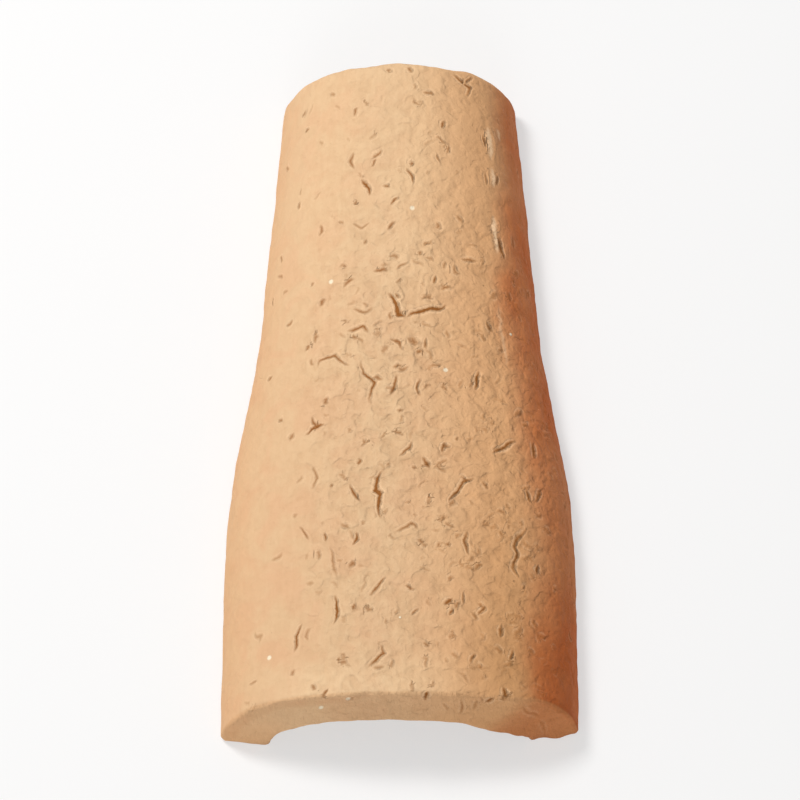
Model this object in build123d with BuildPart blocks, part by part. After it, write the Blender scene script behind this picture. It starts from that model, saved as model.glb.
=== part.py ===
from build123d import *

# Clay barrel roof tile: one hand-moulded piece of fired clay, laid crown up on its two feet.
#
# X runs across the tile, Y along it from the wide front end, at -Y, to the narrow head, and Z up.
# The origin is on the plane of the feet, below the middle of the tile. Sizes are in millimetres.

import os

# Driving dimensions of the outline, seen from above
tile_length = 400.0  # from the front end to the head
front_width = 204.0  # over the feet, at the front end
flare_width = 201.0  # where the nearly parallel front part meets the flare
waist_width = 163.0  # where the flare meets the straight taper of the head part
head_width = 136.0  # over the feet, at the head
front_part_length = 105.0  # from the front end to the flare
flare_length = 145.0  # from the front part to the waist

# Driving dimensions of the wall
front_height = 61.0  # from the feet to the crown, at the front end
head_height = 67.0  # from the feet to the crown, at the head
front_crown_thickness = 27.0
head_crown_thickness = 24.0
front_foot_thickness = 29.0  # the clay is thicker where it was pressed down on the board
head_foot_thickness = 25.0

# Shape of the arch: how far up the wall keeps upright, as a share of the height, and how far the
# crown keeps level, as a share of the half width. More of either gives squarer shoulders.
front_wall_rise = 0.98
head_wall_rise = 0.74
arch_crown_spread = 0.48

# Edges rounded by wet hands
front_arris_radius = 8.0
head_arris_radius = 4.5
inner_arris_radius = 3.0
foot_edge_radius = 3.0

# How the form is made up
section_count = 11  # sections across that the barrel is lofted through
foot_trim = 5.0  # the walls run this far below the feet, before they are cut flat

front_y = -tile_length / 2
flare_y = front_y + front_part_length
waist_y = flare_y + flare_length
head_y = front_y + tile_length


def between(start, end, share):
    """The value at a share of the way from start to end, on a straight line."""
    return start + (end - start) * share


def eased(share):
    """A share from 0 to 1 that leaves and arrives with no slope."""
    held = min(max(share, 0.0), 1.0)
    return held * held * (3.0 - 2.0 * held)


def outer_width(y):
    """Width over the feet: the front part's side and the head part's, joined by the flare."""
    front_side = between(front_width, flare_width, (y - front_y) / front_part_length)
    head_side = between(waist_width, head_width, (y - waist_y) / (head_y - waist_y))
    return between(front_side, head_side, eased((y - flare_y) / flare_length))


def arch_poles(half_width, height, wall_rise):
    """Poles of a curve of the fifth degree, from the left foot over the crown to the right foot.

    Halfway the curve stands at 10/32 of its shoulder poles' height and 20/32 of its crown
    poles', so the crown poles stand high enough for the crown to come at the wanted height.
    """
    full_height = height + foot_trim
    shoulder_z = wall_rise * full_height
    crown_z = (32 * full_height - 10 * shoulder_z) / 20
    crown_x = arch_crown_spread * half_width
    poles = [
        (-half_width, 0),
        (-half_width, shoulder_z),
        (-crown_x, crown_z),
        (crown_x, crown_z),
        (half_width, shoulder_z),
        (half_width, 0),
    ]
    return [(x, z - foot_trim) for x, z in poles]


def wall_section(y):
    """The wall cut across at one place along the tile, before its feet are cut flat."""
    along = (y - front_y) / tile_length
    half_width = outer_width(y) / 2
    height = between(front_height, head_height, along)
    wall_rise = between(front_wall_rise, head_wall_rise, along)
    crown_thickness = between(front_crown_thickness, head_crown_thickness, along)
    foot_thickness = between(front_foot_thickness, head_foot_thickness, along)
    outer = arch_poles(half_width, height, wall_rise)
    inner = arch_poles(half_width - foot_thickness, height - crown_thickness, wall_rise)
    with BuildSketch(Plane.XZ.offset(-y)) as section:
        with BuildLine():
            Bezier(*outer)
            Bezier(*inner)
            Line(outer[0], inner[0])
            Line(outer[-1], inner[-1])
        make_face()
    return section.sketch


with BuildPart() as tile:
    # The barrel, through its sections, with its feet cut to one plane
    for number in range(section_count):
        add(wall_section(between(front_y, head_y, number / (section_count - 1))))
    loft()
    split(bisect_by=Plane.XY, keep=Keep.TOP)

    # The arrises of both ends, the outer arch being the longest edge of an end face
    ends = tile.faces().filter_by(Plane.XZ).sort_by(Axis.Y)
    front_inner, front_outer = ends[0].edges().sort_by(SortBy.LENGTH)[-2:]
    head_inner, head_outer = ends[-1].edges().sort_by(SortBy.LENGTH)[-2:]
    fillet(front_outer, front_arris_radius)
    fillet(head_outer, head_arris_radius)
    fillet([front_inner, head_inner], inner_arris_radius)

    # The edges around both feet
    fillet(tile.faces().filter_by(Plane.XY).edges(), foot_edge_radius)

tile.part.label = "barrel_tile"

os.makedirs("parts", exist_ok=True)
export_step(tile.part, "parts/barrel_tile.step")
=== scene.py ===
import logging
import math
from collections.abc import Iterable
from dataclasses import dataclass, field
from enum import Enum

import bpy
import numpy as np
from mathutils import Euler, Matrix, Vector


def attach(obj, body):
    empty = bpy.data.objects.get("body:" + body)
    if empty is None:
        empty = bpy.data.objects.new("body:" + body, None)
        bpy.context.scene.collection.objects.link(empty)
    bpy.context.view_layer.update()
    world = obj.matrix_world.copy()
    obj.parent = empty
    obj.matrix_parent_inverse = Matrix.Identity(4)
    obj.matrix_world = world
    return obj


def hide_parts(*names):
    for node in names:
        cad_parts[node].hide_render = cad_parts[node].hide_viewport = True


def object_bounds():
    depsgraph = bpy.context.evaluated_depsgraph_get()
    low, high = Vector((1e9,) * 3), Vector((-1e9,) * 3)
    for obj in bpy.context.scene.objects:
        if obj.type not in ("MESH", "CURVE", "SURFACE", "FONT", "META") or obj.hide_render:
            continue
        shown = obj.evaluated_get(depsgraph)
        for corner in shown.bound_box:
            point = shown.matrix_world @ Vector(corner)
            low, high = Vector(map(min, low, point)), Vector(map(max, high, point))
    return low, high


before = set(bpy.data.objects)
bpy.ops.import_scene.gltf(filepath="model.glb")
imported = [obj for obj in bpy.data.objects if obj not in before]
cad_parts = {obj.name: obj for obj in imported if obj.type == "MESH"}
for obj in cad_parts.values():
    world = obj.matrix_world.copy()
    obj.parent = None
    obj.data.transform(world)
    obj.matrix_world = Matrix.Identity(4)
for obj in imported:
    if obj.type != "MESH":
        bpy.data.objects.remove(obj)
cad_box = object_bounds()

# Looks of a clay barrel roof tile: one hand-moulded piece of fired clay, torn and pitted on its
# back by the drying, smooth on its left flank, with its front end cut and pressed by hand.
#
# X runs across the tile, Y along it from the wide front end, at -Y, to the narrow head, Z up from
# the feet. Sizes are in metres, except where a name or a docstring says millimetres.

log = logging.getLogger("roof_tile")

MM = 0.001

# An array over the grid of points, a node's socket, a colour with its alpha, and two ends
Grid = np.ndarray
Socket = bpy.types.NodeSocket
Colour = tuple[float, float, float, float]
Span = tuple[float, float]

WHITE = (1.0, 1.0, 1.0, 1.0)


class Wall(Enum):
    """The two arches of the tile's wall."""

    OUTER = "outer"
    INNER = "inner"


def smooth(value: Grid, low: float, high: float) -> Grid:
    """A share that eases from 0 at low to 1 at high, as 3s^2 - 2s^3; low may be above high."""
    share = np.clip((value - low) / (high - low), 0.0, 1.0)
    return share * share * (3.0 - 2.0 * share)


def between(start: Grid, end: Grid, share: Grid) -> Grid:
    """The value at a share of the way from start to end, on a straight line."""
    return start + (end - start) * share


@dataclass(frozen=True)
class Patch:
    """A stretch of the tile where something is strongest, which fades out along and across.

    along and across hold pairs of places: the patch eases in from the first of a pair to the
    second one.
    """

    strength: float
    along: tuple[Span, ...]
    across: tuple[Span, ...]

    def over(self, across: Grid, along: Grid) -> Grid:
        """Its strength at each place, the product of all its easings.

        Args:
            across: the places across.
            along: the places along the tile.

        Returns:
            The strength for each point.
        """
        eased = [smooth(along, *pair) for pair in self.along]
        eased += [smooth(across, *pair) for pair in self.across]
        return self.strength * math.prod(eased)


class ClayNoise:
    """Seeded gradient noise in space, for the unevenness that hands leave in soft clay."""

    def __init__(self, seed: int) -> None:
        """Draws the order of the cells and the slope that each cell corner carries.

        Args:
            seed: picks the noise.
        """
        rng = np.random.default_rng(seed)
        slopes = rng.normal(size=(256, 3))
        self.order = rng.permutation(256)
        self.slopes = slopes / np.linalg.norm(slopes, axis=1, keepdims=True)

    def at(self, points: Grid, size: float) -> Grid:
        """Values of about -1 to 1 that change over the given size.

        Each corner of the cell around a point gives its slope's dot product with the way to the
        point, and the eight are blended by 6s^5 - 15s^4 + 10s^3 along each axis.

        Args:
            points: places, with x, y and z on the last axis.
            size: the width of a cell, in the points' own unit.

        Returns:
            One value for each point.
        """
        place = points / size
        cell = np.floor(place).astype(int)
        inside = place - cell
        ease = inside**3 * (inside * (inside * 6.0 - 15.0) + 10.0)
        total = np.zeros(points.shape[:-1])
        for corner in np.ndindex(2, 2, 2):
            key = (cell + corner) & 255
            pick = self.order[(self.order[key[..., 0]] + key[..., 1]) & 255]
            pick = self.order[(pick + key[..., 2]) & 255]
            weight = np.prod(np.where(np.array(corner) == 1, ease, 1.0 - ease), axis=-1)
            total += weight * np.sum(self.slopes[pick] * (inside - corner), axis=-1)
        return total * 1.6

    def layered(self, points: Grid, size: float, layers: int) -> Grid:
        """The sum of several noises, each of half the size and half the height of the last."""
        return sum(self.at(points + 7.3 * size * n, size / 2**n) / 2**n for n in range(layers))


@dataclass(frozen=True)
class TileForm:
    """Sizes of the moulded form, the same as the solid's; pairs are at the front end and the head."""

    tile_length: float = 0.400
    front_width: float = 0.204
    flare_width: float = 0.201
    waist_width: float = 0.163
    head_width: float = 0.136
    front_part_length: float = 0.105
    flare_length: float = 0.145
    height: Span = (0.061, 0.067)
    crown_thickness: Span = (0.027, 0.024)
    foot_thickness: Span = (0.029, 0.025)
    wall_rise: Span = (0.98, 0.74)
    crown_spread: float = 0.48
    foot_trim: float = 0.005

    @property
    def front_y(self) -> float:
        """Where the front end is."""
        return -self.tile_length / 2

    @property
    def head_y(self) -> float:
        """Where the head is."""
        return self.tile_length / 2

    def half_width(self, y: Grid) -> Grid:
        """Half the width over the feet: the front side line eased into the head side line.

        Args:
            y: the place along the tile.

        Returns:
            The half width there.
        """
        flare_y = self.front_y + self.front_part_length
        waist_y = flare_y + self.flare_length
        front_side = between(self.front_width, self.flare_width, (y - self.front_y) / self.front_part_length)
        head_side = between(self.waist_width, self.head_width, (y - waist_y) / (self.head_y - waist_y))
        return between(front_side, head_side, smooth(y, flare_y, waist_y)) / 2

    def arch(self, wall: Wall, across: Grid, y: Grid) -> Grid:
        """Points of an arch, a curve of the fifth degree with the shares b0 to b5 of t.

        x = a (b4 + b5 - b0 - b1) + s a (b3 - b2) and z = h (b1 + b4) + c (b2 + b3) - trim, with
        a the half width, s the crown spread, h the shoulder poles' height and c the crown poles'.
        t runs between the two places where z is 0, which repeated steps of -z / (5 h) find.

        Args:
            wall: the arch wanted.
            across: 0 at the left foot's plane to 1 at the right foot's.
            y: the place along the tile, one for each value of across.

        Returns:
            The points, with x, y and z on the last axis.
        """
        along = (y - self.front_y) / self.tile_length
        half = self.half_width(y)
        height = between(*self.height, along)
        if wall is Wall.INNER:
            height = height - between(*self.crown_thickness, along)
            half = half - between(*self.foot_thickness, along)
        full = height + self.foot_trim
        shoulder = between(*self.wall_rise, along) * full
        crown_pole = (32.0 * full - 10.0 * shoulder) / 20.0

        def height_at(t: Grid) -> Grid:
            """Height of the curve over the feet."""
            sides = 5 * t * (1 - t) ** 4 + 5 * t**4 * (1 - t)
            middle = 10 * t**2 * (1 - t) ** 3 + 10 * t**3 * (1 - t) ** 2
            return shoulder * sides + crown_pole * middle - self.foot_trim

        start = self.foot_trim / (5 * shoulder)
        for _ in range(7):
            start = start - height_at(start) / (5 * shoulder)
        t = start + (1 - 2 * start) * across
        ends = t**5 + 5 * t**4 * (1 - t) - 5 * t * (1 - t) ** 4 - (1 - t) ** 5
        inner = 10 * t**3 * (1 - t) ** 2 - 10 * t**2 * (1 - t) ** 3
        x = half * (ends + self.crown_spread * inner)
        return np.stack([x, y + 0 * x, height_at(t)], axis=-1)


@dataclass(frozen=True)
class Run:
    """One stretch of the way round the wall lengthwise, from one place to the next.

    share is 1 on the outer arch and 0 on the inner one, depth is a distance added to it towards
    the outside, and turn is the angle of the outward direction: 0 up through the crown, 90 out
    of the head, 180 into the hollow, 270 out of the front end. A radius rounds an arris.
    """

    cells: int
    share: Span
    depth: Span
    y: Span
    turn: Span
    radius: float = 0.0

    def places(self) -> list[Grid]:
        """Its share, depth, y, turn and radius at the start of each of its cells."""
        ends = (self.share, self.depth, self.y, self.turn, (self.radius, self.radius))
        return [np.linspace(*pair, self.cells, endpoint=False) for pair in ends]


@dataclass(frozen=True)
class Tear:
    """A tear in the skin of the clay, or with a negative depth a ridge standing up on it.

    path runs over the outside: across from the crown line along the arch, and along the tile.
    Past the front arris it goes on down the front end. All its sizes are in millimetres.
    """

    path: tuple[Span, ...]
    depth: float = 0.8
    half_width: float = 0.81


TEARS = (
    # Tears of the back: those from its middle to the front end, then those near the head
    Tear(((-7.5, 52.5), (-2.5, 46), (-1, 39), (3.5, 36)), 1.29, 1.05),
    Tear(((3.5, 36), (7, 40), (15.5, 42.5), (25, 44), (27, 47.5)), 1.2, 0.93),
    Tear(((-27.5, 44.5), (-19.5, 40), (-15.5, 43.5)), 0.64),
    Tear(((-30.5, 30.5), (-21.5, 32), (-18, 28)), 0.83),
    Tear(((-6, 24), (0, 21.5), (1, 16)), 0.7),
    Tear(((14, 24.5), (15, 17.5)), 0.7),
    Tear(((-49, 9), (-47.5, 14), (-37.5, 15.5), (-33, 10.5), (-28.5, 8))),
    Tear(((-23, 11), (-21, 3.5), (-14, -3.5), (-17, -8.5), (-17, -17)), 0.92, 0.93),
    Tear(((-2, 1.5), (-3.5, -5.5), (-6, -12)), 0.83),
    Tear(((11, -0.5), (9.5, -7), (11.5, -12)), 0.83),
    Tear(((46, 7), (44.5, 1), (43, -5.5)), 1.1),
    Tear(((-55, -32), (-50.5, -28.5), (-43.5, -26)), 1.01),
    Tear(((-52, -21.5), (-47, -29.5))),
    Tear(((6.5, -39.5), (5, -45), (-1, -49))),
    Tear(((-21.5, -38.5), (-19, -41), (-22, -43)), 0.6),
    Tear(((25.5, -39), (24, -46.5))),
    Tear(((12.5, -49.5), (16.5, -56.5)), 0.83),
    Tear(((53, -44), (60.5, -39), (67, -33.5)), 1.01, 0.93),
    Tear(((80, -31), (80.5, -41)), 1.01, 0.93),
    Tear(
        ((-10.5, -57), (-13.5, -63.5), (-14.5, -69.5), (-11, -72), (-12, -79.5), (-11.5, -87.5)),
        1.38,
        0.99,
    ),
    Tear(((43, -60), (35.5, -63), (32.5, -69), (27, -78)), 0.9),
    Tear(((-28.5, -65.5), (-23.5, -77)), 0.9),
    Tear(((-49.5, -51.5), (-48, -60), (-50, -66.5)), 0.6, 0.68),
    Tear(((-2, -95.5), (6, -90.5), (10, -94.5)), 0.7),
    Tear(((-24.5, -95), (-24, -99), (-27, -103)), 0.92),
    Tear(((-43.5, -93.5), (-42.5, -99))),
    Tear(((-58, -88.5), (-51, -98)), 0.7, 0.68),
    Tear(((38, -94), (36.5, -101), (39, -108.5))),
    Tear(((75, -86.5), (68.5, -93), (65.5, -99), (68, -104.5), (64.5, -113), (68, -119.5)), 0.85, 0.85),
    Tear(((81.5, -107), (80, -113.5)), 1.01, 0.93),
    Tear(((74.5, -62), (77, -70)), 0.9),
    Tear(((84.5, -59.5), (80.5, -69))),
    Tear(((-40, -103), (-38, -113.5), (-36, -123.5)), 0.5, 0.68),
    Tear(((-8, -122.5), (-15.5, -132), (-17, -134.5))),
    Tear(((20, 64), (19, 58.5)), 0.83),
    Tear(((49.5, 40), (55, 33)), 0.7),
    Tear(((35, -130.5), (36.5, -138.5)), 0.6, 0.68),
    Tear(((-36.5, -132), (-34.5, -143.5), (-37.5, -151.5)), 1.01),
    Tear(((-56, -148.5), (-59.5, -154), (-59, -161.5), (-60.5, -165.5)), 0.92),
    Tear(((29.5, -135), (24.5, -139.5)), 1.1, 1.16),
    Tear(((29.5, -142), (27, -146)), 0.83, 0.93),
    Tear(((10.5, -141.5), (6, -146.5)), 0.7),
    Tear(((48.5, -138), (44.5, -144))),
    Tear(((57.5, -149.5), (56.5, -156))),
    Tear(((-11, -164.5), (-9, -169), (-14, -173.5), (-18, -177.5)), 0.9),
    Tear(((42, -168), (40, -173.5)), 0.7),
    Tear(((64.5, -162.5), (62, -170)), 0.7),
    Tear(((-41, -189), (-43, -193.5))),
    Tear(((16, -192), (13.5, -200)), 1.01, 1.05),
    Tear(((59, -186.5), (60, -193)), 1.1, 1.05),
    Tear(((52.5, -194), (48, -199)), 0.92, 0.93),
    Tear(((-84, -177.5), (-90, -179)), 0.5, 0.68),
    Tear(((-34, -170), (-35.5, -174.5)), 0.6, 0.68),
    Tear(((31, 195), (38.5, 190.5), (42, 188), (40, 182)), 0.9),
    Tear(((39, 191), (45, 197)), 0.6, 0.68),
    Tear(((26, 163.5), (24.5, 159)), 0.83, 0.93),
    Tear(((-27.5, 143.5), (-29.5, 139), (-27.5, 132.5)), 0.7),
    Tear(((-14.5, 138.5), (-16, 132.5)), 0.7, 0.68),
    Tear(((4, 131.5), (7, 126), (6.5, 121.5)), 0.83),
    Tear(((-22.5, 126.5), (-18.5, 120), (-17.5, 115)), 1.01, 0.93),
    Tear(((-0.5, 113.5), (-5.5, 107.5))),
    Tear(((22, 142.5), (23, 136.5)), 0.6, 0.68),
    Tear(((-27.5, 97.5), (-22.5, 95), (-17.5, 97.5)), 0.5, 0.68),
    Tear(((34.5, 77.5), (45.5, 77)), 0.7),
    Tear(((5, 72.5), (-2.5, 67)), 0.6, 0.68),
    # Ridges on the right shoulder, and the dark marks beside them
    Tear(((55, 167), (56, 155), (56.5, 145)), -1.2, 1.7),
    Tear(((57, 140), (58, 128)), -1.1, 1.7),
    Tear(((57.5, 110), (58, 97), (59.5, 85)), -1.3, 1.7),
    Tear(((63, 169), (66, 161)), -0.7, 1.5),
    Tear(((59, 54), (61, 35), (64, 12)), -0.45, 1.4),
    Tear(((52, 161), (53, 152)), 0.8, 0.68),
    Tear(((60.5, 138), (61.5, 130)), 0.8, 0.75),
    Tear(((52.5, 136), (52, 128)), 0.6, 0.68),
    Tear(((61, 97), (62, 90), (63.5, 83)), 1, 0.85),
    # Gouges in the front end
    Tear(((34, -197), (36, -203), (33, -211)), 0.55, 0.82),
    Tear(((43, -198), (41, -206)), 0.4),
    Tear(((24, -201), (27, -209)), 0.4),
    Tear(((70, -199), (76, -202), (83, -203)), 0.37, 1.03),
    Tear(((84, -206), (90, -208), (95, -212)), 0.28, 1.03),
)

# Pale grains of grit, in millimetres across from the crown line and along the tile
GRIT = ((-40.5, 63.0), (26.0, 5.0), (-76.0, -165.5), (-44.5, -204.0), (7.0, 106.0), (-29.0, -198.0))


@dataclass(frozen=True)
class SmallTears:
    """The many short tears between the larger ones, drawn by chance from one seed.

    Pairs are the least and the most, in millimetres. lean and bend are in radians.
    """

    count: int = 360
    seed: int = 41
    length: Span = (4.0, 10.0)
    half_width: Span = (0.72, 1.05)
    depth: Span = (0.25, 0.90)
    lean: float = 0.75
    bend: float = 1.00

    def drawn(self) -> list[Tear]:
        """Tears of three crooked steps, oftener lengthwise.

        They are fewer on the smooth left flank, on the right one, at the head and on the ridges.

        Returns:
            The tears, in the order of their drawing.
        """
        rng = np.random.default_rng(self.seed)
        tears: list[Tear] = []
        while len(tears) < self.count:
            middle = np.array([rng.uniform(-92.0, 112.0), rng.uniform(-200.0, 196.0)])
            across, along = middle[:1], middle[1:]
            crowd = 0.22 + 0.78 * smooth(across, -75, -25)
            crowd *= 1.0 - 0.5 * smooth(along, 60, 110)
            crowd *= 1.0 - 0.75 * smooth(across, 78, 100)
            crowd *= 1.0 - 0.9 * smooth(along, 70, 82) * smooth(abs(across - 58), 11, 6)
            if rng.uniform() > crowd[0]:
                continue
            length = rng.uniform(*self.length) * rng.uniform(0.6, 1.0)
            turns = rng.normal(0.1, self.lean) + np.cumsum(rng.normal(0.0, self.bend, 3))
            steps = np.stack([np.sin(turns), np.cos(turns)], axis=-1) * length / 3.0
            path = middle + np.concatenate([np.zeros((1, 2)), np.cumsum(steps, axis=0)])
            share = rng.uniform() ** 1.6
            half_width = between(*self.half_width, share)
            depth = between(*self.depth, share) * (1.0 - 0.35 * smooth(across, 25, 65)[0])
            tears.append(Tear(tuple(map(tuple, path)), depth, half_width))
        return tears


class TornSkin:
    """What the tears do to a grid of points on the outside of the tile.

    offset is the distance from the nearest tear in half widths, more than 0 on its lower right
    side, strength is the tear's depth in millimetres, faded out at its ends and away from it and
    below 0 for a ridge, and relief is the height in millimetres that the tears give the surface.
    reach, wander and least_width are in millimetres, fade, lip_place and lip_width in half widths,
    and groove and lip are shares of the depth.
    """

    reach: float = 6.0
    wander: float = 1.1
    fade: Span = (3.4, 2.3)
    groove: float = 0.42
    lip: float = 0.22
    lip_place: float = 2.4
    lip_width: float = 1.2
    least_width: float = 1.0

    def __init__(self, across: Grid, along: Grid, tears: Iterable[Tear]) -> None:
        """Lays the tears on places that are shifted a little, so that every tear wanders.

        Args:
            across: millimetres from the crown line along the arch, for each point.
            along: millimetres along the tile, for each point.
            tears: the tears, of which the nearest one counts.
        """
        flat = np.stack([across, along, 0.0 * across], axis=-1)
        wander = [ClayNoise(seed).layered(flat, 8.0, 2) for seed in (51, 52)]
        self.places = flat[..., :2] + self.wander * np.stack(wander, axis=-1)
        self.nearest = np.full(across.shape, 99.0)
        self.offset = np.full(across.shape, 9.0)
        self.strength = np.zeros(across.shape)
        self.relief = np.zeros(across.shape)
        for tear in tears:
            self.add(tear)

    @staticmethod
    def beside(path: Grid, points: Grid) -> tuple[Grid, Grid, Grid]:
        """How points lie beside a path, by the nearest one of its straight steps.

        Args:
            path: the corners of the path, one row each.
            points: the places, one row each.

        Returns:
            The distance, its side as 1 or -1, and the share of the path that is passed.
        """
        steps = np.linalg.norm(np.diff(path, axis=0), axis=1)
        passed = np.concatenate([[0.0], np.cumsum(steps)])
        nearest = np.full(len(points), 99.0)
        side = np.zeros(len(points))
        share = np.zeros(len(points))
        for start, end, before, step in zip(path[:-1], path[1:], passed[:-1], steps):
            ahead = (end - start) / step
            way = points - start
            reached = np.clip(way @ ahead, 0.0, step)
            gap = np.linalg.norm(way - reached[:, None] * ahead, axis=1)
            closer = gap < nearest
            nearest = np.where(closer, gap, nearest)
            side = np.where(closer, np.sign(way[:, 0] * ahead[1] - way[:, 1] * ahead[0]), side)
            share = np.where(closer, (before + reached) / passed[-1], share)
        return nearest, side, share

    def add(self, tear: Tear) -> None:
        """Adds a tear: a groove d exp(-(x / w)^2) times its share, between two low lips.

        x is the distance from the path, w the half width, at least what the grid can hold, and d
        the depth times 1 - |2s - 1|^3, with s the share of the path, so it thins out at both ends.

        Args:
            tear: the tear.
        """
        path = np.array(tear.path)
        if np.sum(path[-1] - path[0]) < 0:
            path = path[::-1]
        low, high = path.min(axis=0) - self.reach, path.max(axis=0) + self.reach
        near = np.all((self.places > low) & (self.places < high), axis=-1)
        gap, side, share = self.beside(path, self.places[near])
        taper = np.clip(1.0 - np.abs(2.0 * share - 1.0) ** 3, 0.0, 1.0)
        closer = gap < self.nearest[near]
        for values, new in (
            (self.nearest, gap),
            (self.offset, gap * side / (tear.half_width * (0.5 + 0.5 * taper))),
            (self.strength, tear.depth * taper * smooth(gap / tear.half_width, *self.fade)),
        ):
            values[near] = np.where(closer, new, values[near])
        width = max(tear.half_width, self.least_width)
        groove = self.groove * tear.depth * taper * np.exp(-((gap / width) ** 2))
        from_lip = (gap / width - self.lip_place) / self.lip_width
        lip = self.lip * max(tear.depth, 0.0) * taper * np.exp(-(from_lip**2))
        self.relief[near] += lip - groove


@dataclass(frozen=True)
class Shoulder:
    """The crest that the hand left along the right shoulder, where the crown turns to the flank.

    share is how far out the crest runs on the right half of the arch and crest how high it
    stands in millimetres, both at the places along the tile.
    """

    along: tuple[float, ...] = (-120.0, -50.0, 0.0, 50.0, 100.0, 140.0, 185.0)
    share: tuple[float, ...] = (0.62, 0.60, 0.57, 0.52, 0.53, 0.53, 0.48)
    crest: tuple[float, ...] = (0.0, 0.6, 0.9, 1.0, 1.1, 1.15, 0.8)

    def height(self, share: Grid, along: Grid) -> Grid:
        """Height h exp(-(d / w)^2), d the distance in share, w 0.17 inside the crest, 0.14 outside."""
        away = share - np.interp(along, self.along, self.share)
        width = np.where(away < 0.0, 0.17, 0.14)
        return np.interp(along, self.along, self.crest) * np.exp(-((away / width) ** 2))


@dataclass(frozen=True)
class RedFiringAndShade:
    """The redder firing of the right flank, with painted warm shade in it: where it starts across, how fast,
    how strong.
    """

    along: tuple[float, ...] = (-190.0, -140.0, -100.0, -50.0, 0.0, 50.0, 100.0, 140.0, 180.0)
    start: tuple[float, ...] = (0.48, 0.47, 0.49, 0.48, 0.46, 0.43, 0.46, 0.47, 0.48)
    width: tuple[float, ...] = (0.16, 0.20, 0.24, 0.22, 0.22, 0.18, 0.20, 0.22, 0.24)
    strength: tuple[float, ...] = (1.0, 0.95, 0.66, 0.76, 0.92, 0.96, 0.90, 0.84, 0.90)

    def share(self, points: Grid, across: Grid, along: Grid) -> Grid:
        """Share of the red clay and painted warm shade, which sets in past the start and deepens towards the
        foot.

        Args:
            points: the smooth skin.
            across: the share of the way from the crown line to the right foot.
            along: millimetres along the tile.

        Returns:
            The share for each point, from 0 to 1.
        """
        patches = ClayNoise(19).layered(points / MM, 30.0, 3)
        share = across + 0.03 * patches
        start = np.interp(along, self.along, self.start)
        width = np.interp(along, self.along, self.width)
        flank = np.interp(along, self.along, self.strength) * smooth(share, start, start + width)
        # Painted shade: the red deepens towards the foot
        deeper = 0.80 + 0.25 * smooth(share, 0.60, 0.85)
        return np.clip(flank * deeper * (1.0 + 0.15 * patches), 0.0, 1.0)


@dataclass(frozen=True)
class Unevenness:
    """One kind of unevenness of the clay: its height and its size in millimetres.

    Each layer has half the size of the last one, shift keeps kinds of the same noise apart, and
    stretch draws the kind out along the tile.
    """

    height: float
    size: float
    layers: int = 2
    shift: float = 0.0
    stretch: float = 1.0

    def over(self, noise: ClayNoise, place: Grid) -> Grid:
        """Its height at each place, in millimetres."""
        drawn = place * [1.0, 1.0 / self.stretch, 1.0]
        return self.height * noise.layered(drawn + self.shift, self.size, self.layers)


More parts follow.
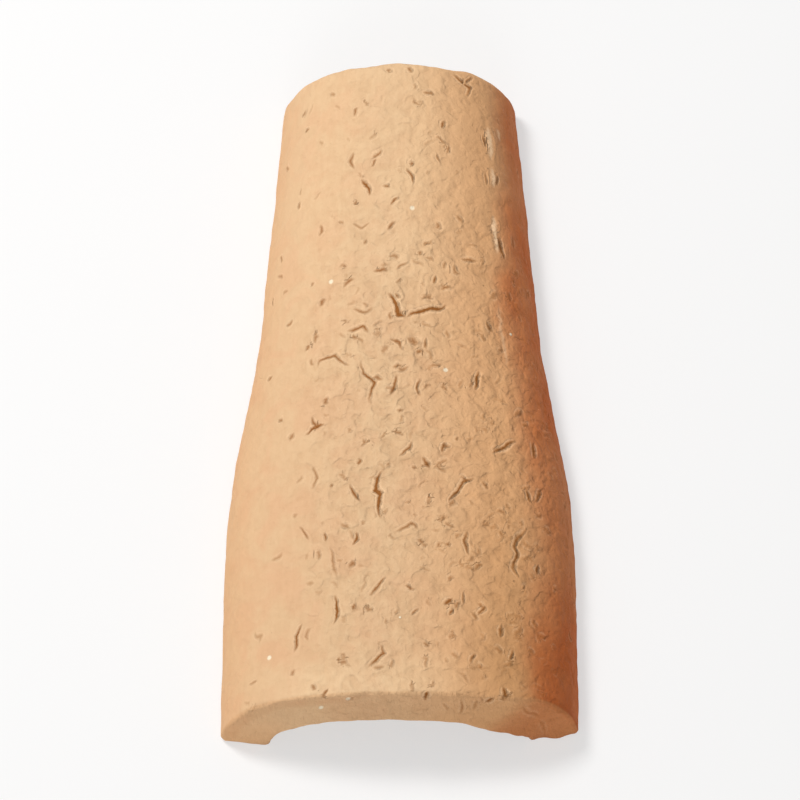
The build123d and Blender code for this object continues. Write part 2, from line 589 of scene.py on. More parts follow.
@dataclass
class BarrelTile:
    """The whole tile, one closed skin that goes round its wall lengthwise.

    Its patches say how much of the hollow's height is filled at the right of its mouth, how far
    the right foot's front stands back and the left one's out, in metres, where the right one was
    pressed and where painted shade darkens it, and where the pale film lies. Their places,
    slant_reach and sink are in millimetres, but those of foot_shade across are shares.
    """

    form: TileForm = field(default_factory=TileForm)
    small_tears: SmallTears = field(default_factory=SmallTears)
    shoulder: Shoulder = field(default_factory=Shoulder)
    red_firing_and_shade: RedFiringAndShade = field(default_factory=RedFiringAndShade)
    cells_across: int = 206
    foot_cells: int = 6
    outer_cells: int = 336
    inner_cells: int = 48
    front_slant: float = 0.0055
    foot_slant: float = 0.0022
    slant_reach: Span = (-150.0, -194.0)
    slant_eases: float = 0.20
    corner_fill: Patch = Patch(0.42, ((-145, -195),), ((28, 66),))
    foot_setback: Patch = Patch(0.0030, ((-165, -200),), ((52, 82),))
    foot_splay: Patch = Patch(0.0009, ((-180, -200),), ((-60, -92),))
    foot_press: Patch = Patch(1.0, ((-190, -200),), ((50, 85),))
    foot_shade: Patch = Patch(1.1, ((-187, -195.5), (-240, -228)), ((0.44, 0.70),))
    film: tuple[Patch, ...] = (
        Patch(0.6, ((-165, -182), (-198, -192)), ((60, 10), (-85, -50))),
        Patch(0.2, ((0, 110),), ((90, 58),)),
        Patch(0.7, ((0, 110),), ((90, 58), (-25, 20))),
        Patch(0.5, ((140, 180),), ((3, 18), (56, 40))),
        Patch(0.9, ((-199, -203),), ((-20, -60),)),
    )
    front_arris_radius: float = 0.0035
    head_arris_radius: float = 0.0045
    inner_arris_radius: float = 0.0032
    foot_edge_radius: float = 0.0028
    arch_length: float = 0.235
    waves: Unevenness = Unevenness(0.45, 70.0)
    lumps: Unevenness = Unevenness(0.42, 17.0, 2, 91.0)
    dimples: Unevenness = Unevenness(0.62, 8.0, 1, 63.0)
    peel: Unevenness = Unevenness(0.22, 4.5, 1, 17.0)
    end_lumps: Unevenness = Unevenness(0.55, 16.0, 3, 55.0)
    foot_lumps: Unevenness = Unevenness(0.8, 9.0, 2, 29.0)
    arris_lumps: Unevenness = Unevenness(0.7, 14.0, 2, 77.0)
    draw_marks: Unevenness = Unevenness(0.22, 6.0, 2, 33.0, 1.0 / 0.12)
    sink: float = 0.40
    box_margin: float = 0.00002

    def runs(self) -> list[Run]:
        """The way round the wall, from the middle of the hollow by the front end and the back.

        Returns:
            The runs, in their order.
        """
        front, head = self.form.front_y, self.form.head_y
        outer, inner = self.front_arris_radius, self.inner_arris_radius
        top, half = self.head_arris_radius, self.inner_cells // 2
        back = front + self.front_slant
        return [
            Run(half, (0, 0), (0, 0), (0, front + inner), (180, 180)),
            Run(3, (0, 0), (inner, inner), (front + inner, front + inner), (180, 270), inner),
            Run(16, (0, 1), (inner, -outer), (front, back), (270, 270)),
            Run(8, (1, 1), (-outer, -outer), (back + outer, back + outer), (270, 360), outer),
            Run(self.outer_cells, (1, 1), (0, 0), (back + outer, head - top), (360, 360)),
            Run(6, (1, 1), (-top, -top), (head - top, head - top), (360, 450), top),
            Run(10, (1, 0), (-top, inner), (head, head), (450, 450)),
            Run(3, (0, 0), (inner, inner), (head - inner, head - inner), (450, 540), inner),
            Run(half, (0, 0), (0, 0), (head - inner, 0), (540, 540)),
        ]

    def lines_across(self) -> tuple[Grid, Grid]:
        """Places of the grid lines across the arch, and how far the foot's edge draws them in.

        On the edge of radius r, at the angle v, a line is r - r sin v above the feet and drawn in
        by r - r cos v. Between the edges the lines are evenly spaced.

        Returns:
            The places, from 0 to 1, and the distances drawn in.
        """
        turn = np.linspace(math.pi / 2, 0.0, self.foot_cells + 1)
        lift = self.foot_edge_radius * (1.0 - np.sin(turn)) / self.arch_length
        drawn = self.foot_edge_radius * (1.0 - np.cos(turn))
        middle = np.linspace(lift[-1], 1.0 - lift[-1], self.cells_across + 1)
        places = np.concatenate([lift[:-1], middle, 1.0 - lift[-2::-1]])
        return places, np.concatenate([drawn[:-1], 0 * middle, drawn[-2::-1]])

    def skin(self) -> tuple[Grid, Grid]:
        """The smooth skin: lines across the arch by places round the wall.

        A point lies between the inner and the outer arch at the share A + B / T, with A the
        run's share, B its depth plus (R - d) cos v, T the wall's thickness there, and y the run's
        plus (R - d) sin v: R the radius, v the turn and d the foot edge's drawing in. Towards the
        feet the front end's slant eases, and at its mouth the hollow's right corner is filled.

        Returns:
            The points, and the turn of each place round the wall in radians.
        """
        columns = zip(*(run.places() for run in self.runs()))
        share, depth, y, turn, radius = (np.concatenate(column) for column in columns)
        turn = np.radians(turn)
        places, drawn = self.lines_across()
        left = radius[None, :] - drawn[:, None]
        y = y + left * np.sin(turn)
        depth = depth + left * np.cos(turn)
        near_foot = smooth(np.minimum(places, 1.0 - places), self.slant_eases, 0)[:, None]
        eased = (self.front_slant - self.foot_slant) * near_foot * share
        y = y - eased * smooth(y / MM, *self.slant_reach)
        across = np.broadcast_to(places[:, None], y.shape)
        outer = self.form.arch(Wall.OUTER, across, y)
        inner = self.form.arch(Wall.INNER, across, y)
        inner[..., 2] *= 1.0 - self.corner_fill.over(inner[..., 0] / MM, y / MM)
        thickness = np.linalg.norm(outer - inner, axis=-1)
        blend = (share + depth / thickness)[..., None]
        return inner + (outer - inner) * blend, turn

    @staticmethod
    def outward(points: Grid) -> Grid:
        """Unit normals of the grid: the cross product of its steps across and round the wall.

        Args:
            points: the skin.

        Returns:
            One outward direction for each point.
        """
        step_across = np.gradient(points, axis=0)
        step_round = np.roll(points, -1, axis=1) - np.roll(points, 1, axis=1)
        normal = np.cross(step_across, step_round)
        return normal / np.linalg.norm(normal, axis=-1, keepdims=True)

    def surface_map(self, points: Grid) -> tuple[Grid, Grid]:
        """Distances over the skin: across from the crown line, and along from the middle.

        Args:
            points: the smooth skin.

        Returns:
            Both distances in millimetres for each point. On the back, along is y.
        """
        steps = np.linalg.norm(np.diff(points, axis=0), axis=-1)
        across = np.concatenate([np.zeros((1, points.shape[1])), np.cumsum(steps, axis=0)])
        middle = points.shape[0] // 2
        across = across - across[middle]
        crown = points[middle]
        steps = np.linalg.norm(np.diff(crown, axis=0), axis=-1)
        along = np.concatenate([[0.0], np.cumsum(steps)])
        first = sum(run.cells for run in self.runs()[:4])
        along = along - along[first] + crown[first, 1]
        return across / MM, np.broadcast_to(along / MM, across.shape)

    @staticmethod
    def worn(across: Grid, along: Grid) -> Grid:
        """How rough the back is: most in the middle, less at the head, least on the left flank."""
        places = (-200, -150, -70, 0, 60, 130, 200)
        lengthwise = np.interp(along, places, (0.7, 0.8, 1.0, 1.15, 0.9, 0.65, 0.6))
        return (0.35 + 0.65 * smooth(across, -75, -25)) * lengthwise

    def relief(self, points: Grid, turn: Grid, across: Grid, along: Grid) -> Grid:
        """Height over the smooth skin, without the tears.

        The sum of waves, lumps, dimples and orange peel, rougher on the two ends, on the front
        arris and on the right foot's front, with draw marks in the hollow and the shoulder's
        crest, and sunk as a whole so that no point leaves the moulded form's own box.

        Args:
            points: the smooth skin.
            turn: the turn of each place round the wall.
            across: millimetres from the crown line.
            along: millimetres along the tile.

        Returns:
            The height in millimetres for each point.
        """
        place, noise = points / MM, ClayNoise(7)
        on_back = smooth(np.cos(turn), 0, 0.6)[None, :]
        on_ends = np.abs(np.sin(turn))[None, :]
        in_hollow = smooth(-np.cos(turn), 0, 0.6)[None, :]
        on_arris = np.clip(-np.sin(2.0 * turn), 0.0, 1.0)[None, :] * smooth(along, -170, -190)
        on_foot = on_ends * self.foot_press.over(across, along)
        worn = self.worn(across, along) * on_back
        height = self.shoulder.height(across / across[-1], place[..., 1]) * on_back - self.sink
        for kind, share in (
            (self.waves, 1.0),
            (self.lumps, 1.0 - 0.35 * in_hollow),
            (self.dimples, worn * (1.0 - 0.6 * smooth(across, 66, 92))),
            (self.peel, worn),
            (self.end_lumps, on_ends),
            (self.foot_lumps, on_foot),
            (self.arris_lumps, on_arris),
            (self.draw_marks, in_hollow),
        ):
            height = height + share * kind.over(noise, place)
        return height

    def shaped(self, points: Grid, height: Grid) -> Grid:
        """The skin with its relief, its right foot set back, and its feet kept flat.

        Each point moves along its normal by its height. Below 4 mm the upward part of that fades
        out, so the feet's undersides stay in one plane while their edges keep their unevenness.
        The left foot's front corner stands out a little.

        Args:
            points: the smooth skin.
            height: the relief, in millimetres.

        Returns:
            The finished points, inside the box of the solid.
        """
        x, y, z = (points[..., axis] / MM for axis in range(3))
        move = self.outward(points) * height[..., None] * MM
        move[..., 2] *= smooth(z, 0, 4)
        move[..., 1] += self.foot_setback.over(x, y) - self.foot_splay.over(x, y)
        lowest, highest = np.array(cad_box[0]), np.array(cad_box[1])
        lowest[:2] += self.box_margin
        return np.clip(points + move, lowest, highest - self.box_margin)

    def faces(self, lines: int, places: int) -> list[Grid]:
        """The grid's quads, closed round the wall, and the flat undersides of the feet.

        Each underside is a row of faces between the outer and the inner edge, with one more
        face at each end.

        Args:
            lines: the number of grid lines across.
            places: the number of places round the wall.

        Returns:
            Arrays of point numbers, one row a face.
        """
        number = np.arange(lines * places).reshape(lines, places)
        ahead = np.roll(number, -1, axis=1)
        quads = np.stack([number[:-1], ahead[:-1], ahead[1:], number[1:]], axis=-1).reshape(-1, 4)
        starts = np.cumsum([0] + [run.cells for run in self.runs()])
        ratio = self.outer_cells // self.inner_cells
        groups = [quads]
        for line, order in ((0, -1), (lines - 1, 1)):
            ring = number[line]
            outer = ring[starts[4] : starts[5] + 1]
            inner = np.concatenate([ring[starts[8] :], ring[: starts[1] + 1]])[::-1]
            pick = ratio * np.arange(self.inner_cells)[:, None] + np.arange(ratio + 1)
            pairs = np.stack([inner[1:], inner[:-1]], axis=1)
            strip = np.concatenate([outer[pick], pairs], axis=1)
            front = ring[starts[1] : starts[4] + 1][None, :]
            head = ring[starts[5] : starts[8] + 1][None, :]
            groups += [strip[:, ::-order], front[:, ::-order], head[:, ::-order]]
        return groups

    def build(self) -> bpy.types.Object:
        """Makes the tile's object, with the marks that its material reads.

        Returns:
            The object.
        """
        points, turn = self.skin()
        across, along = self.surface_map(points)
        large = TornSkin(across, along, TEARS)
        small = TornSkin(across, along, self.small_tears.drawn())
        height = self.relief(points, turn, across, along) + large.relief + small.relief
        finished = self.shaped(points, height)
        share = across / across[-1]
        on_outside = 0.5 + 0.5 * smooth(np.cos(turn), -0.6, 0.3)
        marks = {
            "tear_offset": large.offset,
            "tear_depth": large.strength,
            "nick_offset": small.offset,
            "nick_depth": small.strength,
            "grit_distance": self.grit_distance(across, along),
            "worn": self.worn(across, along),
            # Painted warm shade on the right, a warmer tint on the left edge
            "warm_tint_and_shade": self.warm_tint_and_shade(share),
            # Redder firing with painted warm shade on the right flank
            "red_and_shade": self.red_firing_and_shade.share(points, share, along) * on_outside,
            "shade": self.shade(share, along),
            "bloom": self.bloom(points, across, along),
            "cut_end": np.broadcast_to(smooth(-np.sin(turn), 0.15, 0.6), across.shape),
        }
        mesh = solid_mesh("barrel_tile_skin", finished.reshape(-1, 3), self.faces(*across.shape))
        for name, values in marks.items():
            mark = mesh.attributes.new(name, "FLOAT", "POINT")
            mark.data.foreach_set("value", np.ascontiguousarray(values, dtype=np.float32).ravel())
        return linked("weathered_barrel_tile", mesh)

    @staticmethod
    def grit_distance(across: Grid, along: Grid) -> Grid:
        """Millimetres to the nearest of the pale grains of grit, at most 9.

        Args:
            across: millimetres from the crown line.
            along: millimetres along the tile.

        Returns:
            The distance for each point.
        """
        nearest = np.full(across.shape, 9.0)
        for grain in GRIT:
            nearest = np.minimum(nearest, np.hypot(across - grain[0], along - grain[1]))
        return nearest

    @staticmethod
    def warm_tint_and_shade(share: Grid) -> Grid:
        """Share of the warmer tint, by the share across: painted warm shade on the right and a little warmer
        on the left.
        """
        return smooth(share, -0.15, 0.55) + 0.45 * smooth(-share, 0.55, 0.95)

    def shade(self, share: Grid, along: Grid) -> Grid:
        """Share of the painted brown shade: on the front's right shoulder and the right foot's front.

        Args:
            share: the share of the way from the crown line to the right foot.
            along: millimetres along the tile.

        Returns:
            The share for each point.
        """
        places = (-200, -176, -140, -100, -60, -20)
        lengthwise = np.interp(along, places, (0.6, 0.95, 0.62, 0.40, 0.12, 0.0))
        shoulder = lengthwise * smooth(share, 0.12, 0.48) * smooth(share, 0.92, 0.72)
        return shoulder + self.foot_shade.over(share, along)

    def bloom(self, points: Grid, across: Grid, along: Grid) -> Grid:
        """Share of the pale film: on the head, beside the front end and on that end's left.

        Args:
            points: the smooth skin.
            across: millimetres from the crown line.
            along: millimetres along the tile.

        Returns:
            The share for each point, from 0 to 1.
        """
        patches = 0.5 + 0.5 * ClayNoise(23).layered(points / MM, 30.0, 3)
        film = sum(patch.over(across, along) for patch in self.film)
        return np.clip(film * (0.6 + 0.6 * patches), 0.0, 1.0)


def solid_mesh(name: str, points: Grid, groups: list[Grid]) -> bpy.types.Mesh:
    """A smooth-shaded mesh of points and faces.

    Args:
        name: the mesh's name.
        points: one row a point.
        groups: arrays of faces, each with as many columns as its faces have corners.

    Returns:
        The mesh.
    """
    mesh = bpy.data.meshes.new(name)
    mesh.from_pydata(points, [], [face for group in groups for face in group.tolist()])
    mesh.shade_smooth()
    mesh.validate()
    return mesh


class NodeBench:
    """Puts nodes into a node tree and joins them."""

    def __init__(self, tree: bpy.types.NodeTree) -> None:
        """Takes the tree to work on."""
        self.tree = tree

    def node(self, kind: str, **settings: object) -> bpy.types.Node:
        """A new node.

        Args:
            kind: the node's type.
            **settings: its settings, by name.

        Returns:
            The node.
        """
        made = self.tree.nodes.new(kind)
        for name, value in settings.items():
            setattr(made, name, value)
        return made

    def join(self, value: object, socket: Socket) -> None:
        """Gives an input its value.

        Args:
            value: a plain value or another node's socket.
            socket: the input.
        """
        if isinstance(value, Socket):
            self.tree.links.new(value, socket)
        else:
            socket.default_value = value

    def feed(self, node: bpy.types.Node, **inputs: object) -> bpy.types.Node:
        """Gives several inputs of a node their values.

        Args:
            node: the node.
            **inputs: plain values or sockets, by the input's name with _ for a space.

        Returns:
            The same node.
        """
        for name, value in inputs.items():
            self.join(value, node.inputs[name.replace("_", " ")])
        return node

    def math(self, operation: str, *values: object) -> Socket:
        """The result of a Math node.

        Args:
            operation: what it does.
            *values: one to three plain values or sockets.

        Returns:
            The result.
        """
        made = self.node("ShaderNodeMath", operation=operation)
        for socket, value in zip(made.inputs, values):
            self.join(value, socket)
        return made.outputs[0]

    def times(self, one: object, other: object) -> Socket:
        """The product of two values or sockets."""
        return self.math("MULTIPLY", one, other)

    def scaled(self, value: object, by: object, onto: object = 0.0) -> Socket:
        """A value scaled and added onto another."""
        return self.math("MULTIPLY_ADD", value, by, onto)

    def ease(self, value: object, low: float, high: float) -> Socket:
        """A share that eases from 0 where the value is low to 1 where it is high.

        Args:
            value: what the share follows.
            low: where it is 0, which may be above high.
            high: where it is 1.

        Returns:
            The share.
        """
        made = self.node("ShaderNodeMapRange", interpolation_type="SMOOTHSTEP")
        self.feed(made, Value=value, From_Min=low, From_Max=high, To_Min=0.0, To_Max=1.0)
        return made.outputs["Result"]

    def noise(self, vector: object, scale: float, detail: float = 2.0, warp: float = 0.0) -> Socket:
        """The value of a Noise texture, about 0.5 on average.

        Args:
            vector: the place.
            scale: cells per unit.
            detail: how many finer noises are added.
            warp: how much the place is shifted.

        Returns:
            The value.
        """
        made = self.node("ShaderNodeTexNoise", noise_dimensions="3D", normalize=True)
        self.feed(made, Vector=vector, Scale=scale, Detail=detail, Roughness=0.55, Distortion=warp)
        return made.outputs["Fac"]

    def swing(self, vector: object, scale: float, detail: float = 2.0, warp: float = 0.0) -> Socket:
        """The same noise about 0."""
        return self.math("SUBTRACT", self.noise(vector, scale, detail, warp), 0.5)

    def mark(self, name: str) -> Socket:
        """A number that the piece's mesh carries at its points."""
        made = self.node("ShaderNodeAttribute", attribute_type="GEOMETRY", attribute_name=name)
        return made.outputs["Fac"]

    def stretched(self, vector: object, scale: tuple[float, float, float]) -> Socket:
        """A vector with each axis scaled."""
        made = self.node("ShaderNodeMapping", vector_type="POINT")
        return self.feed(made, Vector=vector, Scale=scale).outputs["Vector"]

    def blend(self, share: object, low: object, high: object, way: str = "MIX") -> Socket:
        """A colour between two colours, or one laid over another in some other way.

        Args:
            share: how much of the second colour.
            low: the first colour.
            high: the second colour.
            way: the blend type.

        Returns:
            The colour.
        """
        made = self.node("ShaderNodeMix", data_type="RGBA", blend_type=way, clamp_factor=True)
        for number, value in ((0, share), (6, low), (7, high)):
            self.join(value, made.inputs[number])
        return made.outputs[2]


def cleared(owner: bpy.types.Material | bpy.types.World) -> NodeBench:
    """Empties the nodes of a material or a world.

    Args:
        owner: the material or the world.

    Returns:
        A bench to put new nodes on.
    """
    owner.use_nodes = True
    owner.node_tree.nodes.clear()
    return NodeBench(owner.node_tree)


def linked(name: str, data: bpy.types.ID) -> bpy.types.Object:
    """Puts a new object into the scene.

    Args:
        name: the object's name.
        data: its mesh, light or camera.

    Returns:
        The object.
    """
    made = bpy.data.objects.new(name, data)
    bpy.context.scene.collection.objects.link(made)
    return made


class EffectGroup:
    """A shader node group with named inputs and outputs."""

    def __init__(self, name: str, inputs: str, outputs: str) -> None:
        """Makes the empty group.

        Args:
            name: the group's name.
            inputs: socket names, each a number, apart from Position, which is a vector.
            outputs: names of the numbers that the group gives.
        """
        self.tree = bpy.data.node_groups.new(name, "ShaderNodeTree")
        for sockets, way in ((inputs, "INPUT"), (outputs, "OUTPUT")):
            for socket in sockets.split():
                kind = "NodeSocketVector" if socket == "Position" else "NodeSocketFloat"
                self.tree.interface.new_socket(name=socket, in_out=way, socket_type=kind)
        self.bench = NodeBench(self.tree)
        self.given = self.tree.nodes.new("NodeGroupInput").outputs
        self.wanted = self.tree.nodes.new("NodeGroupOutput")

    def give(self, **outputs: Socket) -> None:
        """Joins the sockets that the group gives, by name with _ for a space."""
        self.bench.feed(self.wanted, **outputs)

    def placed(self, bench: NodeBench, **inputs: object) -> bpy.types.NodeOutputs:
        """Places the group in a material with its own values, and gives its outputs."""
        node = bench.node("ShaderNodeGroup", node_tree=self.tree)
        return bench.feed(node, **inputs).outputs


def tear_group() -> EffectGroup:
    """A tear: a dark core in a wider groove and a rim on both sides, all as exp(-x^2).

    Where the depth is below 0, for a ridge, only the rim on its lower right stays, as a low line.

    Returns:
        The group.
    """
    group = EffectGroup("clay_tear", "Offset Depth Position", "Core Rim Height")
    bench, given = group.bench, group.given
    offset = bench.scaled(bench.swing(given["Position"], 0.55), 1.6, given["Offset"])

    def bell(middle: float, width: float) -> Socket:
        """The depth times exp(-((offset - middle) / width)^2)."""
        away = bench.math("DIVIDE", bench.math("SUBTRACT", offset, middle), width)
        square = bench.times(bench.times(away, away), -1.0)
        return bench.times(bench.math("EXPONENT", square), given["Depth"])

    core, groove = bell(0.0, 0.92), bell(0.0, 1.50)
    rim_place, rim_width = 2.3, 0.9
    above = bench.math("MAXIMUM", bell(-rim_place, rim_width), 0.0)
    rim = bench.math("ADD", bell(rim_place, rim_width), above)
    height = bench.scaled(groove, -0.85, bench.times(rim, 0.34))
    group.give(Core=core, Rim=rim, Height=height)
    return group


def crease_group() -> EffectGroup:
    """Soft creases: where a warped noise passes its middle value, broken up by another noise.

    Returns:
        The group.
    """
    group = EffectGroup("clay_crease", "Position Size Width", "Line")
    bench, given = group.bench, group.given
    fine = bench.math("DIVIDE", 1.0, given["Size"])
    away = bench.math("DIVIDE", bench.swing(given["Position"], fine, 1.0, 0.5), given["Width"])
    line = bench.math("EXPONENT", bench.times(bench.times(away, away), -1.0))
    kept = bench.ease(bench.noise(given["Position"], bench.times(fine, 1.3), 1.0), 0.46, 0.60)
    group.give(Line=bench.times(line, kept))
    return group


def grain_group() -> EffectGroup:
    """Grain of the clay: orange peel, fine sand and long draw marks, as one height and a shade.

    Returns:
        The group.
    """
    group = EffectGroup("clay_grain", "Position Peel Sand Draw", "Height Shade")
    bench, given = group.bench, group.given
    peel = bench.swing(given["Position"], 0.22, 2.0, 0.5)
    sand = bench.swing(given["Position"], 1.3)
    draw = bench.swing(bench.stretched(given["Position"], (1.0, 0.22, 1.0)), 0.34, 3.0, 0.3)
    height = bench.scaled(sand, given["Sand"], bench.times(peel, given["Peel"]))
    height = bench.scaled(draw, given["Draw"], height)
    group.give(Height=height, Shade=bench.math("ADD", bench.math("ADD", peel, draw), 0.5))
    return group


def speck_group() -> EffectGroup:
    """Scattered grains: round dots in random cells, of random size up to a share of the cell.

    Returns:
        The group.
    """
    group = EffectGroup("clay_speck", "Position Cell Share", "Dot")
    bench, given = group.bench, group.given
    cells = bench.node("ShaderNodeTexVoronoi", voronoi_dimensions="3D", feature="F1")
    bench.feed(cells, Vector=given["Position"], Scale=bench.math("DIVIDE", 1.0, given["Cell"]))
    drawn = bench.node("ShaderNodeSeparateColor")
    bench.feed(drawn, Color=cells.outputs["Color"])
    chosen = bench.math("LESS_THAN", drawn.outputs["Red"], given["Share"])
    size = bench.scaled(drawn.outputs["Green"], 0.07, 0.04)
    dot = bench.math("DIVIDE", cells.outputs["Distance"], size)
    group.give(Dot=bench.times(bench.ease(dot, 1.15, 0.75), chosen))
    return group


class ClayMarks:
    """Where the clay is torn, creased, grainy and cut, for its colour and for its relief."""

    def __init__(self, bench: NodeBench) -> None:
        """Places the groups over the marks that the piece carries.

        Args:
            bench: the material's nodes.
        """
        self.bench = bench
        place = bench.stretched(bench.node("ShaderNodeTexCoord").outputs["Object"], (1.0 / MM,) * 3)
        self.place = place
        self.cut, self.worn = bench.mark("cut_end"), bench.mark("worn")
        tears, creases, specks = tear_group(), crease_group(), speck_group()
        self.tear, self.nick = (
            tears.placed(
                bench, Position=place, Offset=bench.mark(f"{name}_offset"), Depth=bench.mark(f"{name}_depth")
            )
            for name in ("tear", "nick")
        )
        self.wide, self.fine = (
            bench.times(creases.placed(bench, Position=place, Size=size, Width=width)["Line"], self.worn)
            for size, width in ((12.0, 0.13), (6.5, 0.14))
        )
        pale, self.dark = (
            specks.placed(bench, Position=place, Cell=cell, Share=share)["Dot"]
            for cell, share in ((9.0, 0.03), (8.0, 0.05))
        )
        self.grit = bench.math("MAXIMUM", pale, bench.ease(bench.mark("grit_distance"), 1.9, 0.9))
        peel = bench.scaled(self.worn, 0.55, 0.25)
        self.grain = grain_group().placed(bench, Position=place, Peel=peel, Sand=0.09, Draw=0.10)


@dataclass(frozen=True)
class FiredClay:
    """The finish of the tile: sandy terracotta, pale on top and redder on the right flank, there partly as
    painted warm shade.

    Pairs are for the wide and the fine creases, and depths and heights in millimetres.
    """

    light_clay: Colour = (0.742, 0.484, 0.272, 1.0)
    pink_clay: Colour = (0.740, 0.442, 0.246, 1.0)
    # Darker clay for the painted shade in the grain's low places
    valley_shade_clay: Colour = (0.600, 0.330, 0.160, 1.0)
    # Red of the right flank: partly the clay's redder firing, partly painted warm shade
    red_clay_and_shade: Colour = (0.600, 0.148, 0.030, 1.0)
    warm_clay: Colour = (0.790, 0.425, 0.195, 1.0)
    # Brown that multiplies in the painted shade
    shade_brown: Colour = (0.780, 0.730, 0.640, 1.0)
    film: Colour = (0.850, 0.590, 0.345, 1.0)
    # Dark brown of the torn clay, with painted shade in the tears and creases
    torn_clay_and_crack_shade: Colour = (0.310, 0.110, 0.020, 1.0)
    # Pale clay for the painted highlights on rims and ridges
    painted_highlight: Colour = (0.990, 0.655, 0.385, 1.0)
    grit: Colour = (0.980, 0.830, 0.600, 1.0)
    iron: Colour = (0.300, 0.140, 0.060, 1.0)
    roughness: float = 0.86
    specular: float = 0.3
    film_where_worn: float = 0.34
    warmth_on_cut: float = 0.35
    red_and_shade_lost_on_cut: float = 0.35
    shade_lost_on_cut: float = 0.60
    iron_share: float = 0.50
    rim_highlight_share: float = 0.42
    ridge_highlight_share: float = 0.90
    nick_share: float = 1.00
    tear_share: float = 1.15
    crease_shade_shares: Span = (0.10, 0.06)
    crease_depths: Span = (0.62, 0.28)
    grain_height: float = 0.22
    gouge_depth: float = 1.1

    def material(self) -> bpy.types.Material:
        """The clay: its coats of colour and its fine relief over one plain shader.

        Returns:
            The material.
        """
        material = bpy.data.materials.new("fired_clay_weathered")
        bench = cleared(material)
        marks = ClayMarks(bench)
        bump = bench.node("ShaderNodeBump")
        bench.feed(bump, Strength=1.0, Distance=MM, Height=self.height(marks))
        dull = bench.scaled(marks.grain["Shade"], 0.08, self.roughness - 0.04)
        shader = bench.node("ShaderNodeBsdfPrincipled")
        bench.feed(shader, Base_Color=self.colour(marks), Roughness=dull, Normal=bump.outputs["Normal"])
        shader.inputs["Specular IOR Level"].default_value = self.specular
        bench.feed(bench.node("ShaderNodeOutputMaterial"), Surface=shader.outputs["BSDF"])
        return material

    def colour(self, marks: ClayMarks) -> Socket:
        """The colour: coats over the light clay, each by its own share, the painted brown shade by
        multiplying.

        Args:
            marks: where the clay is torn, creased, grainy and cut.

        Returns:
            The colour.
        """
        bench, worn, cut, tear, nick = marks.bench, marks.worn, marks.cut, marks.tear, marks.nick
        mottle = bench.ease(bench.noise(marks.place, 0.045, 3.0, 0.6), 0.40, 0.66)
        film = bench.scaled(worn, self.film_where_worn, bench.mark("bloom"))
        # Painted shade in the low places of the grain, more where the back is rough
        valley_shade = bench.times(bench.ease(marks.grain["Shade"], 0.72, 0.30), bench.scaled(worn, 0.14, 0.08))
        # Red firing with painted warm shade, less of it on the cut end
        red_and_shade_share = bench.times(bench.mark("red_and_shade"), bench.scaled(cut, -self.red_and_shade_lost_on_cut, 1.0))
        # Painted shade, weaker on the cut end
        painted_shade = bench.times(bench.mark("shade"), bench.scaled(cut, -self.shade_lost_on_cut, 1.0))
        wide, fine = (bench.times(*pair) for pair in zip((marks.wide, marks.fine), self.crease_shade_shares))
        colour = self.light_clay
        for share, coat in (
            (mottle, self.pink_clay),
            (film, self.film),
            # Painted warm shade on the right of the crown, and a warmer tint on the left edge
            (bench.mark("warm_tint_and_shade"), self.warm_clay),
            # Painted shade in the grain's low places
            (valley_shade, self.valley_shade_clay),
            (bench.times(cut, self.warmth_on_cut), self.warm_clay),
            # Red firing and painted warm shade on the right flank
            (red_and_shade_share, self.red_clay_and_shade),
            # Painted shade on the front's right shoulder and the right foot's front
            (painted_shade, self.shade_brown),
            (marks.grit, self.grit),
            (bench.times(marks.dark, self.iron_share), self.iron),
            # Painted shade in the creases
            (bench.math("ADD", wide, fine), self.torn_clay_and_crack_shade),
            # Painted highlight on the rims beside the tears
            (bench.times(bench.math("ADD", tear["Rim"], nick["Rim"]), self.rim_highlight_share), self.painted_highlight),
            # The torn clay's colour with painted shade in the cores of the small and large tears
            (bench.times(nick["Core"], self.nick_share), self.torn_clay_and_crack_shade),
            (bench.times(tear["Core"], self.tear_share), self.torn_clay_and_crack_shade),
            # Painted highlight on the ridges, whose depth is below 0
            (bench.times(tear["Core"], -self.ridge_highlight_share), self.painted_highlight),
        ):
            way = "MULTIPLY" if coat is self.shade_brown else "MIX"
            colour = bench.blend(share, colour, coat, way)
        return colour

    def height(self, marks: ClayMarks) -> Socket:
        """The fine relief: tears, grain and grit, less the creases and the dark specks, and gouges.

        Args:
            marks: where the clay is torn, creased, grainy and cut.

        Returns:
            The height in millimetres.
        """
        bench = marks.bench
        gouges = bench.swing(bench.stretched(marks.place, (0.55, 0.2, 0.2)), 1.0, 3.0, 0.5)
        height = marks.tear["Height"]
        for part, amount in (
            (marks.nick["Height"], 1.0),
            (marks.grain["Height"], 1.0),
            (marks.wide, -self.crease_depths[0]),
            (marks.fine, -self.crease_depths[1]),
            (marks.grit, self.grain_height),
            (marks.dark, -self.grain_height),
            (bench.times(gouges, marks.cut), self.gouge_depth),
        ):
            height = bench.scaled(part, amount, height)
        return height


@dataclass(frozen=True)
class SoftLamp:
    """A square lamp that looks at the tile from a direction."""

    name: str
    direction: tuple[float, float, float]
    distance: float
    side: float
    power: float

    def hang(self, aim: Vector) -> None:
        """Hangs the lamp at its distance from the aim, facing it.

        Args:
            aim: the place that it lights.
        """
        light = bpy.data.lights.new(self.name, "AREA")
        light.shape = "SQUARE"
        light.size = self.side
        light.energy = self.power
        lamp = linked(self.name, light)
        way = Vector(self.direction).normalized()
        lamp.location = aim + way * self.distance
        lamp.rotation_euler = way.to_track_quat("Z", "Y").to_euler()


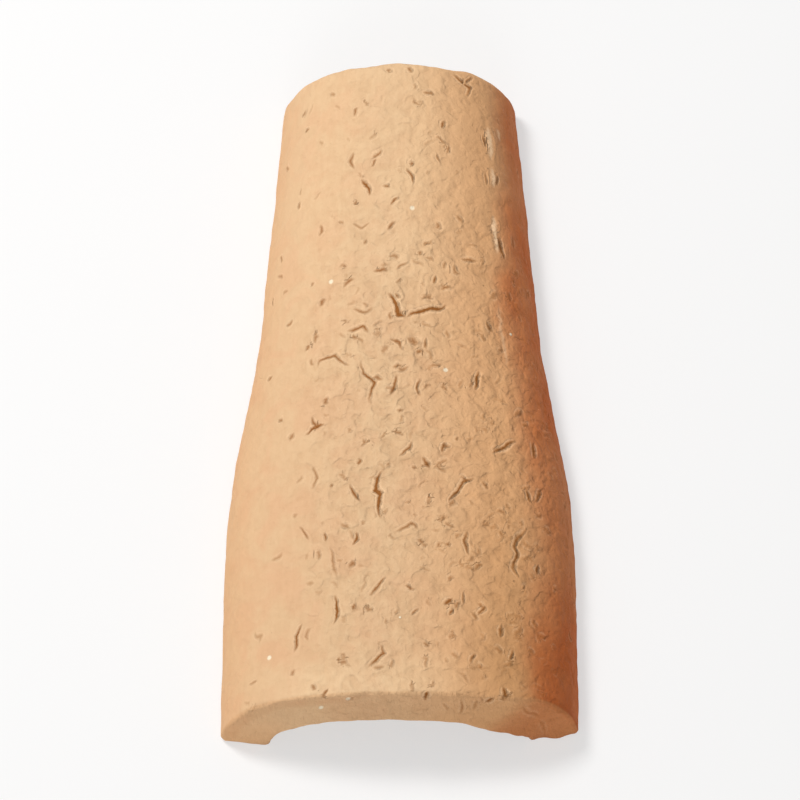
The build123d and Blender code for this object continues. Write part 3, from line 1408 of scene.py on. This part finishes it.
@dataclass(frozen=True)
class Studio:
    """The plain pale floor, the soft light and the camera."""

    floor_side: float = 12.0
    floor_colour: Colour = (0.90, 0.89, 0.88, 1.0)
    floor_glow: float = 0.55
    sky_strength: float = 0.30
    key: SoftLamp = SoftLamp("key_lamp", (-0.40, 0.32, 0.86), 2.4, 0.6, 41.0)
    front: SoftLamp = SoftLamp("front_lamp", (-0.14, -0.85, 0.52), 2.6, 1.6, 14.0)
    elevation: float = 65.0
    camera_distance: float = 4.4
    frame_width: float = 0.457
    aim: tuple[float, float, float] = (0.0, 0.001, 0.030)

    def floor(self) -> bpy.types.Object:
        """The floor, in the plane of the feet: pale, a little brighter to the camera alone.

        Returns:
            The floor's object.
        """
        side = self.floor_side / 2
        corners = side * np.array([[-1, -1, 0], [1, -1, 0], [1, 1, 0], [-1, 1, 0]], dtype=float)
        mesh = solid_mesh("studio_floor", corners, [np.array([[0, 1, 2, 3]])])
        floor = linked("studio_floor", mesh)
        material = bpy.data.materials.new("pale_floor")
        bench = cleared(material)
        paint = bench.feed(bench.node("ShaderNodeBsdfDiffuse"), Color=self.floor_colour)
        white = bench.feed(bench.node("ShaderNodeEmission"), Color=WHITE, Strength=1.0)
        seen = bench.times(bench.node("ShaderNodeLightPath").outputs["Is Camera Ray"], self.floor_glow)
        both = bench.node("ShaderNodeMixShader")
        for socket, value in zip(both.inputs, (seen, paint.outputs[0], white.outputs[0])):
            bench.join(value, socket)
        bench.feed(bench.node("ShaderNodeOutputMaterial"), Surface=both.outputs[0])
        floor.data.materials.append(material)
        return floor

    def sky(self) -> None:
        """The even light all round, white to the camera."""
        world = bpy.data.worlds.new("studio_sky")
        bench = cleared(world)
        path = bench.node("ShaderNodeLightPath")
        seen = bench.math("MAXIMUM", path.outputs["Is Camera Ray"], path.outputs["Is Glossy Ray"])
        strength = bench.scaled(seen, 1.0 - self.sky_strength, self.sky_strength)
        light = bench.feed(bench.node("ShaderNodeBackground"), Color=WHITE, Strength=strength)
        bench.feed(bench.node("ShaderNodeOutputWorld"), Surface=light.outputs[0])
        bpy.context.scene.world = world

    def camera(self) -> None:
        """The camera, in front of the tile and high above it, far off, with a long lens."""
        lens = bpy.data.cameras.new("studio_camera")
        lens.sensor_width = 36.0
        lens.lens = 36.0 * self.camera_distance / self.frame_width
        lens.clip_end = 100.0
        camera = linked("studio_camera", lens)
        rise = math.radians(self.elevation)
        away = Vector((0.0, -math.cos(rise), math.sin(rise)))
        camera.location = Vector(self.aim) + away * self.camera_distance
        camera.rotation_euler = Euler((math.pi / 2 - rise, 0.0, 0.0))
        bpy.context.scene.camera = camera

    def build(self) -> bpy.types.Object:
        """Sets up the sky, the camera, the lamps and the floor.

        Returns:
            The floor's object.
        """
        self.sky()
        self.camera()
        for lamp in (self.key, self.front):
            lamp.hang(Vector(self.aim))
        bpy.context.scene.view_settings.view_transform = "Standard"
        return self.floor()


def main() -> None:
    """Builds the tile in place of the solid, hung from the root body, and the studio."""
    logging.basicConfig(level=logging.INFO, format="%(name)s: %(message)s")
    tile = BarrelTile()
    piece = tile.build()
    piece.data.materials.append(FiredClay().material())
    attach(piece, "root")
    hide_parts("barrel_tile")
    piece.data.calc_loop_triangles()
    log.info("%s: %d triangles", piece.name, len(piece.data.loop_triangles))
    floor = Studio().build()
    log.info("%s: stage", floor.name)


if __name__ == "__main__":
    main()
